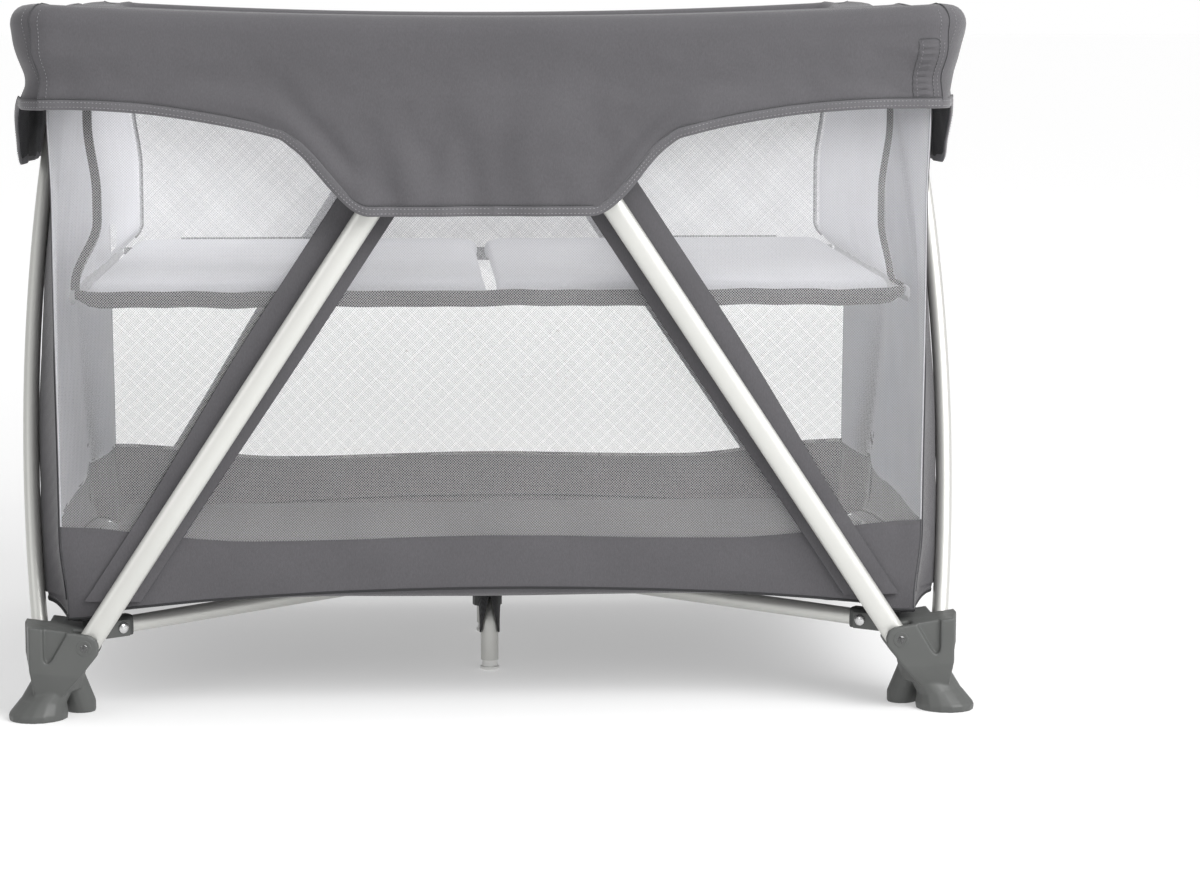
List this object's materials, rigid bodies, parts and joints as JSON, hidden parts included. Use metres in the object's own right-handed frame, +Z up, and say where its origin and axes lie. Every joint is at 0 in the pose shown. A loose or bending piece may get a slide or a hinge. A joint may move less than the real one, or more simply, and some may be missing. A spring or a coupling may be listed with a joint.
{
  "type": "travel play yard",
  "caption": "Folding travel play yard: four moulded feet, crossed tube legs, fabric-covered top rails, mesh walls, a floor linkage and a hanging bassinet with a mattress.",
  "frame": {"origin": "on the ground, under the middle of the yard", "axes": "+X along the long sides, +Y from the front long side to the rear one, +Z up"},
  "size_m": [1.084, 0.8046, 0.7851],
  "materials": {
    "satin_tube": "satin silver, lightly warm",
    "grey_moulding": "fine-grained grey moulding",
    "pin_steel": "plated steel",
    "white_cap": "off-white moulding",
    "charcoal_cloth": "woven polyester with a slight sheen",
    "grey_mesh": "open knitted mesh",
    "pale_cloth": "pale lilac-grey knitted cloth",
    "black_webbing": "woven webbing"
  },
  "bodies": {
    "foot_fl": {"foot_fl": "grey_moulding", "long_leg_pin_fl": "pin_steel", "short_leg_pin_fl": "pin_steel", "arm_pin_fl": "pin_steel"},
    "foot_fr": {"foot_fr": "grey_moulding", "long_leg_pin_fr": "pin_steel", "short_leg_pin_fr": "pin_steel", "arm_pin_fr": "pin_steel"},
    "foot_rl": {"foot_rl": "grey_moulding", "long_leg_pin_rl": "pin_steel", "short_leg_pin_rl": "pin_steel", "arm_pin_rl": "pin_steel"},
    "foot_rr": {"foot_rr": "grey_moulding", "long_leg_pin_rr": "pin_steel", "short_leg_pin_rr": "pin_steel", "arm_pin_rr": "pin_steel"},
    "arm_fl": {"floor_arm_fl": "satin_tube"},
    "arm_fr": {"floor_arm_fr": "satin_tube"},
    "arm_rl": {"floor_arm_rl": "satin_tube"},
    "arm_rr": {"floor_arm_rr": "satin_tube"},
    "centre_hub": {"centre_hub": "grey_moulding", "centre_leg": "satin_tube", "centre_leg_cap_front": "white_cap", "centre_leg_cap_rear": "white_cap", "pull_strap": "black_webbing", "floor_cloth": "charcoal_cloth"},
    "long_leg_fl": {"long_leg_fl": "satin_tube"},
    "short_leg_fl": {"short_leg_fl": "satin_tube"},
    "long_leg_fr": {"long_leg_fr": "satin_tube"},
    "short_leg_fr": {"short_leg_fr": "satin_tube"},
    "long_leg_rl": {"long_leg_rl": "satin_tube"},
    "short_leg_rl": {"short_leg_rl": "satin_tube"},
    "long_leg_rr": {"long_leg_rr": "satin_tube"},
    "short_leg_rr": {"short_leg_rr": "satin_tube"},
    "hub_front": {"hub_front": "grey_moulding", "cover_front": "charcoal_cloth", "wall_front": "grey_mesh", "bassinet": "pale_cloth", "mattress": "pale_cloth"},
    "hub_rear": {"hub_rear": "grey_moulding", "cover_rear": "charcoal_cloth", "wall_rear": "grey_mesh"},
    "hub_left": {"hub_left": "grey_moulding", "cover_left": "charcoal_cloth", "wall_left": "grey_mesh"},
    "hub_right": {"hub_right": "grey_moulding", "cover_right": "charcoal_cloth", "wall_right": "grey_mesh"},
    "long_rail_fl": {"long_rail_fl": "satin_tube", "corner_block_fl": "grey_moulding"},
    "short_rail_fl": {"short_rail_fl": "satin_tube"},
    "long_rail_fr": {"long_rail_fr": "satin_tube", "corner_block_fr": "grey_moulding"},
    "short_rail_fr": {"short_rail_fr": "satin_tube"},
    "long_rail_rl": {"long_rail_rl": "satin_tube", "corner_block_rl": "grey_moulding"},
    "short_rail_rl": {"short_rail_rl": "satin_tube"},
    "long_rail_rr": {"long_rail_rr": "satin_tube", "corner_block_rr": "grey_moulding"},
    "short_rail_rr": {"short_rail_rr": "satin_tube"}
  },
  "joints": [
    {"name": "fold", "type": "hinge", "parent": "foot_fl", "child": "arm_fl", "pos_m": [-0.425, -0.32, 0.095], "axis": [0.6015, -0.7989, 0], "range_deg": [0, 84], "deforming": ["cover_front", "cover_rear", "cover_left", "cover_right", "wall_front", "wall_rear", "wall_left", "wall_right", "floor_cloth", "bassinet", "mattress"]},
    {"name": "hub_level", "type": "hinge", "parent": "arm_fl", "child": "centre_hub", "pos_m": [-0.03004, -0.02262, 0.105], "axis": [-0.6015, 0.7989, 0], "range_deg": [0, 84]},
    {"name": "arm_swing_fr", "type": "hinge", "parent": "centre_hub", "child": "arm_fr", "pos_m": [0.03004, -0.02262, 0.105], "axis": [0.6015, 0.7989, 0], "range_deg": [0, 84]},
    {"name": "foot_level_fr", "type": "hinge", "parent": "arm_fr", "child": "foot_fr", "pos_m": [0.425, -0.32, 0.095], "axis": [-0.6015, -0.7989, 0], "range_deg": [0, 84]},
    {"name": "arm_swing_rl", "type": "hinge", "parent": "centre_hub", "child": "arm_rl", "pos_m": [-0.03004, 0.02262, 0.105], "axis": [-0.6015, -0.7989, 0], "range_deg": [0, 84]},
    {"name": "foot_level_rl", "type": "hinge", "parent": "arm_rl", "child": "foot_rl", "pos_m": [-0.425, 0.32, 0.095], "axis": [0.6015, 0.7989, 0], "range_deg": [0, 84]},
    {"name": "arm_swing_rr", "type": "hinge", "parent": "centre_hub", "child": "arm_rr", "pos_m": [0.03004, 0.02262, 0.105], "axis": [-0.6015, 0.7989, 0], "range_deg": [0, 84]},
    {"name": "foot_level_rr", "type": "hinge", "parent": "arm_rr", "child": "foot_rr", "pos_m": [0.425, 0.32, 0.095], "axis": [0.6015, -0.7989, 0], "range_deg": [0, 84]},
    {"name": "long_leg_pivot_fl", "type": "hinge", "parent": "foot_fl", "child": "long_leg_fl", "pos_m": [-0.4505, -0.37, 0.0866], "axis": [0, -1, 0], "range_deg": [0, 30.06]},
    {"name": "short_leg_pivot_fl", "type": "hinge", "parent": "foot_fl", "child": "short_leg_fl", "pos_m": [-0.511, -0.31, 0.0866], "axis": [1, 0, 0], "range_deg": [0, 23.99]},
    {"name": "long_leg_pivot_fr", "type": "hinge", "parent": "foot_fr", "child": "long_leg_fr", "pos_m": [0.4505, -0.37, 0.0866], "axis": [0, 1, 0], "range_deg": [0, 30.06]},
    {"name": "short_leg_pivot_fr", "type": "hinge", "parent": "foot_fr", "child": "short_leg_fr", "pos_m": [0.511, -0.31, 0.0866], "axis": [1, 0, 0], "range_deg": [0, 23.99]},
    {"name": "long_leg_pivot_rl", "type": "hinge", "parent": "foot_rl", "child": "long_leg_rl", "pos_m": [-0.4505, 0.37, 0.0866], "axis": [0, -1, 0], "range_deg": [0, 30.06]},
    {"name": "short_leg_pivot_rl", "type": "hinge", "parent": "foot_rl", "child": "short_leg_rl", "pos_m": [-0.511, 0.31, 0.0866], "axis": [-1, 0, 0], "range_deg": [0, 23.99]},
    {"name": "long_leg_pivot_rr", "type": "hinge", "parent": "foot_rr", "child": "long_leg_rr", "pos_m": [0.4505, 0.37, 0.0866], "axis": [0, 1, 0], "range_deg": [0, 30.06]},
    {"name": "short_leg_pivot_rr", "type": "hinge", "parent": "foot_rr", "child": "short_leg_rr", "pos_m": [0.511, 0.31, 0.0866], "axis": [-1, 0, 0], "range_deg": [0, 23.99]},
    {"name": "hub_level_front", "type": "hinge", "parent": "long_leg_fl", "child": "hub_front", "pos_m": [-0.0463, -0.37, 0.7], "axis": [0, 1, 0], "range_deg": [0, 30.06]},
    {"name": "hub_level_rear", "type": "hinge", "parent": "long_leg_rr", "child": "hub_rear", "pos_m": [0.0463, 0.37, 0.7], "axis": [0, -1, 0], "range_deg": [0, 30.06]},
    {"name": "hub_level_left", "type": "hinge", "parent": "short_leg_rl", "child": "hub_left", "pos_m": [-0.503, 0.045, 0.7], "axis": [1, 0, 0], "range_deg": [0, 23.99]},
    {"name": "hub_level_right", "type": "hinge", "parent": "short_leg_fr", "child": "hub_right", "pos_m": [0.503, -0.045, 0.7], "axis": [-1, 0, 0], "range_deg": [0, 23.99]},
    {"name": "long_rail_drop_fl", "type": "hinge", "parent": "hub_front", "child": "long_rail_fl", "pos_m": [-0.06, -0.342, 0.745], "axis": [0, -1, 0], "range_deg": [0, 90]},
    {"name": "short_rail_drop_fl", "type": "hinge", "parent": "hub_left", "child": "short_rail_fl", "pos_m": [-0.472, -0.05, 0.745], "axis": [1, 0, 0], "range_deg": [0, 90]},
    {"name": "long_rail_drop_fr", "type": "hinge", "parent": "hub_front", "child": "long_rail_fr", "pos_m": [0.06, -0.342, 0.745], "axis": [0, 1, 0], "range_deg": [0, 90]},
    {"name": "short_rail_drop_fr", "type": "hinge", "parent": "hub_right", "child": "short_rail_fr", "pos_m": [0.472, -0.05, 0.745], "axis": [1, 0, 0], "range_deg": [0, 90]},
    {"name": "long_rail_drop_rl", "type": "hinge", "parent": "hub_rear", "child": "long_rail_rl", "pos_m": [-0.06, 0.342, 0.745], "axis": [0, -1, 0], "range_deg": [0, 90]},
    {"name": "short_rail_drop_rl", "type": "hinge", "parent": "hub_left", "child": "short_rail_rl", "pos_m": [-0.472, 0.05, 0.745], "axis": [-1, 0, 0], "range_deg": [0, 90]},
    {"name": "long_rail_drop_rr", "type": "hinge", "parent": "hub_rear", "child": "long_rail_rr", "pos_m": [0.06, 0.342, 0.745], "axis": [0, 1, 0], "range_deg": [0, 90]},
    {"name": "short_rail_drop_rr", "type": "hinge", "parent": "hub_right", "child": "short_rail_rr", "pos_m": [0.472, 0.05, 0.745], "axis": [-1, 0, 0], "range_deg": [0, 90]}
  ],
  "couplings": [
    {"joint": "hub_level", "follows": "fold", "ratio": 1},
    {"joint": "arm_swing_fr", "follows": "fold", "ratio": 1},
    {"joint": "foot_level_fr", "follows": "fold", "ratio": 1},
    {"joint": "arm_swing_rl", "follows": "fold", "ratio": 1},
    {"joint": "foot_level_rl", "follows": "fold", "ratio": 1},
    {"joint": "arm_swing_rr", "follows": "fold", "ratio": 1},
    {"joint": "foot_level_rr", "follows": "fold", "ratio": 1},
    {"joint": "long_leg_pivot_fl", "follows": "fold", "ratio": 0.35786},
    {"joint": "short_leg_pivot_fl", "follows": "fold", "ratio": 0.28559},
    {"joint": "long_leg_pivot_fr", "follows": "fold", "ratio": 0.35786},
    {"joint": "short_leg_pivot_fr", "follows": "fold", "ratio": 0.28559},
    {"joint": "long_leg_pivot_rl", "follows": "fold", "ratio": 0.35786},
    {"joint": "short_leg_pivot_rl", "follows": "fold", "ratio": 0.28559},
    {"joint": "long_leg_pivot_rr", "follows": "fold", "ratio": 0.35786},
    {"joint": "short_leg_pivot_rr", "follows": "fold", "ratio": 0.28559},
    {"joint": "hub_level_front", "follows": "fold", "ratio": 0.35786},
    {"joint": "hub_level_rear", "follows": "fold", "ratio": 0.35786},
    {"joint": "hub_level_left", "follows": "fold", "ratio": 0.28559},
    {"joint": "hub_level_right", "follows": "fold", "ratio": 0.28559},
    {"joint": "long_rail_drop_fl", "follows": "fold", "ratio": 1.0714},
    {"joint": "short_rail_drop_fl", "follows": "fold", "ratio": 1.0714},
    {"joint": "long_rail_drop_fr", "follows": "fold", "ratio": 1.0714},
    {"joint": "short_rail_drop_fr", "follows": "fold", "ratio": 1.0714},
    {"joint": "long_rail_drop_rl", "follows": "fold", "ratio": 1.0714},
    {"joint": "short_rail_drop_rl", "follows": "fold", "ratio": 1.0714},
    {"joint": "long_rail_drop_rr", "follows": "fold", "ratio": 1.0714},
    {"joint": "short_rail_drop_rr", "follows": "fold", "ratio": 1.0714}
  ]
}
